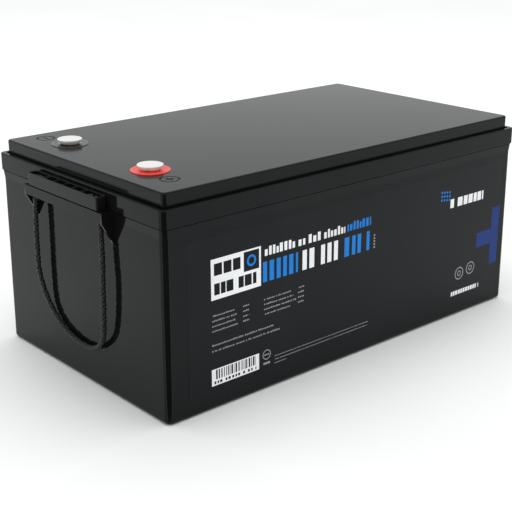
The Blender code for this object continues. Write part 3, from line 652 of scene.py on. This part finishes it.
def make_label():
    make_film()
    badge = [(-193.0, -133.4, 109.2, 148.3)]
    print_blocks("badge_plate", "white_ink", badge)
    print_blocks("badge_words", "dark_ink",
                 greeked(-189.5, -156.5, 132.2, 143.6, 9.4, 0.16, 5) + greeked(-189.5, -139.0,
                                                                               113.6, 124.6, 8.4,
                                                                               0.16, 9), 0.04)
    print_blocks("badge_square", "dark_ink", [(-154.3, -135.6, 127.6, 146.6)], 0.04)
    ring_mark("badge_mark", "blue_ink", (-145.0, 137.1), 5.6, 2.2, 0.09)
    print_blocks("headline_white", "white_ink", greeked(-128.5, -22.0, 137.2, 146.0, 5.3, 0.34, 4, 0.72))
    print_blocks("headline_blue", "blue_ink", greeked(-19.0, 15.0, 137.6, 146.4, 5.0, 0.34, 8, 0.78))
    print_blocks("rating_blue", "blue_ink",
                 greeked(-130.8, -86.0, 111.5, 131.6, 9.4, 0.38, 6) + greeked(-22.5, 17.5, 111.5,
                                                                              131.6, 9.4, 0.38, 2))
    print_blocks("rating_white", "white_ink", greeked(-80.0, -28.0, 111.5, 131.6, 9.4, 0.38, 12))
    print_blocks("side_note", "grey_ink",
                 [(20.0, 22.0, 111.5 + 3.2 * i, 113.4 + 3.2 * i) for i in range(5)])
    rows = []
    for row in range(4):
        z = 93.2 - 5.0 * row
        rows += greeked(-192.5, -165.0 + 3 * (row % 2), z, z + 1.6, 2.1, 0.36, 3 + row, 0.75)
        rows += greeked(-155.5, -148.0, z + 0.4, z + 2.0, 2.1, 0.36, 7 + row, 0.8)
        rows += greeked(-129.5, -95.0 + 4 * (row % 3), z + 0.2, z + 1.8, 2.1, 0.36, 13 + row, 0.75)
        rows += greeked(-85.5, -77.5, z + 1.2, z + 2.8, 2.1, 0.36, 19 + row, 0.8)
    rows += greeked(-193.0, -117.5, 64.2, 66.0, 2.2, 0.34, 21, 0.75)
    rows += greeked(-193.0, -108.8, 58.4, 60.2, 2.2, 0.34, 25, 0.75)
    print_blocks("data_rows", "grey_ink", rows)
    print_blocks("code_plate", "white_ink", [(-194.0, -136.0, 24.4, 41.0)])
    bars = greeked(-191.0, -139.5, 25.9, 28.6, 3.9, 0.42, 9)
    x, index = -189.0, 5
    while x < -141.0:
        index = (index * 29 + 7) % 97
        wide = 0.5 + 0.45 * (index % 4)
        bars.append((x, x + wide, 30.4, 40.0))
        x += wide + 0.8 + 0.5 * (index % 3)
    print_blocks("code_bars", "dark_ink", bars, 0.04)
    ring_mark("service_mark", "grey_ink", (-126.2, 36.8), 5.2, 0.9)
    print_blocks("service_line", "grey_ink",
                 [(-129.6, -122.8, 36.2, 37.4), (-130.5, -122.0, 26.8, 29.0)])
    fine = []
    for row, end in enumerate((15.0, 14.0, -100.0)):
        fine += greeked(-116.0, end, 31.8 - 3.7 * row, 32.7 - 3.7 * row, 1.6, 0.36, 31 + row)
    print_blocks("fine_lines", "grey_ink", fine)
    dots = bmesh.new()
    for column in range(4):
        for row in range(3):
            z = (150.0 - 4.3 * row - 0.6 * column) * MM
            at = Vector(((126.0 + 4.3 * column) * MM, label_y(z), z))
            made = bmesh.ops.create_cone(dots, cap_ends=True, segments=20, radius1=1.3 * MM,
                                         radius2=1.3 * MM, depth=0.04 * MM)["verts"]
            bmesh.ops.transform(dots,
                                matrix=Matrix.Translation(at) @ Matrix.Rotation(math.pi / 2, 4,
                                                                                'X'), verts=made)
    finish_mesh("corner_dots", dots, "blue_ink", "pack")
    print_blocks("name_bar", "white_ink", greeked(141.0, 198.0, 129.6, 139.6, 8.8, 0.2, 14))
    print_blocks("blue_plus", "deep_blue_ink",
                 [(216.6, 230.2, 48.0, 115.6), (190.8, 216.6, 73.4, 90.6)])
    for x, z in ((163.0, 49.6), (182.5, 51.6)):
        ring_mark(f"small_mark_{x:.0f}", "grey_ink", (x, z), 7.4, 1.3)
        ring_mark(f"small_dot_{x:.0f}", "grey_ink", (x, z), 3.2, 1.2)
    print_blocks("type_bar", "white_ink", greeked(150.5, 199.5, 24.6, 29.6, 4.0, 0.24, 17))


# ---------------------------------------------------------------- carried-over solids
CARRIED = {
    "glue_bead": "glue", "label_film": "film", "terminal_post": "brass", "terminal_seal": "rubber",
    "foam": "foam",
    "management_board": "board", "board_heat_sink": "alloy", "end_plate": "alloy", "strap": "steel",
    "busbar": "copper",
    "cell_sheet": "card", "cell_": "cell", "cable_positive": "red_wire", "cable": "black_wire",
    "balance_harness": "yellow",
    "temperature_probe": "yellow", "case": "gloss", "lid": "lid", "grip": "grip", "rope": "rope",
    "terminal_ring_positive": "red",
    "terminal_ring": "ring", "terminal_plug": "plug",
}


def finish_carried():
    for name, node in NODES.items():
        start = max((word for word in CARRIED if name.startswith(word)), key=len)
        node.data.materials.clear()
        node.data.materials.append(MATERIALS[CARRIED[start]])


# ---------------------------------------------------------------- stage
def make_stage():
    scene = bpy.context.scene
    scene.view_settings.view_transform = 'Standard'
    bm = bmesh.new()
    bmesh.ops.create_grid(bm, x_segments=1, y_segments=1, size=6.0)
    data = bpy.data.meshes.new("floor")
    bm.to_mesh(data)
    bm.free()
    floor = bpy.data.objects.new("floor", data)
    scene.collection.objects.link(floor)
    n = Nodes("floor_paper")
    n.link(n.ramp(n.noise(3.0), (0.94, 0.94, 0.94), (0.96, 0.96, 0.96)), n.shader.inputs["Base Color"])
    n.shader.inputs["Roughness"].default_value = 0.9
    n.shader.inputs["Specular IOR Level"].default_value = 0.1
    data.materials.append(n.material)
    world = bpy.data.worlds.new("studio")
    world.use_nodes = True
    tree = world.node_tree
    direction = tree.nodes.new("ShaderNodeTexCoord")
    split = tree.nodes.new("ShaderNodeSeparateXYZ")
    height = tree.nodes.new("ShaderNodeValToRGB")
    tree.links.new(direction.outputs["Generated"], split.inputs["Vector"])
    tree.links.new(split.outputs["Z"], height.inputs["Fac"])
    tree.links.new(height.outputs["Color"], tree.nodes["Background"].inputs["Color"])
    stops = height.color_ramp.elements
    stops[0].position, stops[0].color = 0.10, (1.0, 1.0, 1.0, 1.0)
    stops[1].position, stops[1].color = 0.85, (1.0, 1.0, 1.0, 1.0)
    for position, level in ((0.20, 0.68), (0.50, 0.74)):
        stop = stops.new(position)
        stop.color = (level * 0.965, level, level, 1.0)
    tree.nodes["Background"].inputs["Strength"].default_value = SKY_STRENGTH
    scene.world = world

    def area(name, place, target, size, power):
        lamp = bpy.data.lights.new(name, 'AREA')
        lamp.shape = 'RECTANGLE'
        lamp.size, lamp.size_y = size
        lamp.energy = power
        item = bpy.data.objects.new(name, lamp)
        item.location = place
        item.rotation_mode = 'QUATERNION'
        item.rotation_quaternion = (Vector(place) - Vector(target)).to_track_quat('Z', 'Y')
        item.visible_glossy = False
        scene.collection.objects.link(item)

    area("top_soft", (0.3, 0.4, 2.4), (0.0, 0.0, 0.1), (2.2, 2.2), 16.0)
    make_flag()


def make_flag():
    """Studio flags before the near corner: only mirrors see them. The dark one makes the rounded corner
    read dark, and the two glowing light strips beside it paint highlight lines into the corner's
    reflection.
    """
    corner = Vector((-LENGTH / 2, -WIDTH / 2, 0.0))
    toward = math.atan2(-0.8486 + WIDTH / 2, -0.7628 + LENGTH / 2)
    for name, start, end, tone, glow in (("flag_dark", -46, 46, 0.0, 0.0),
                                         ("flag_light_a", 48, 56, 0.9, 1.1),
                                         ("flag_light_b", -56, -48, 0.9, 1.1)):
        bm = bmesh.new()
        rings = []
        for radius in FLAG_REACH:
            ring = []
            for step in range(13):
                angle = toward + math.radians(start + (end - start) * step / 12)
                ring.append(bm.verts.new(corner + Vector((radius * math.cos(angle),
                                                          radius * math.sin(angle), FLAG_LIFT))))
            rings.append(ring)
        for step in range(12):
            bm.faces.new((rings[0][step], rings[0][step + 1], rings[1][step + 1], rings[1][step]))
        data = bpy.data.meshes.new(name)
        bm.to_mesh(data)
        bm.free()
        flag = bpy.data.objects.new(name, data)
        bpy.context.scene.collection.objects.link(flag)
        n = Nodes(name)
        n.shader.inputs["Base Color"].default_value = (tone, tone, tone, 1.0)
        n.shader.inputs["Specular IOR Level"].default_value = 0.0
        n.shader.inputs["Roughness"].default_value = 1.0
        n.shader.inputs["Emission Color"].default_value = (1.0, 1.0, 1.0, 1.0)
        # Glow on the light strips lights nothing: it shows only as painted highlight lines in
        # reflections.
        n.shader.inputs["Emission Strength"].default_value = glow
        data.materials.append(n.material)
        flag.visible_camera = False
        flag.visible_diffuse = False
        flag.visible_shadow = False
        flag.visible_transmission = False


make_camera()
make_ropes()
make_case()
make_lid()
for end_side, end_word in ENDS:
    make_grip(end_side, end_word)
make_terminals()
make_label()
finish_carried()
make_stage()
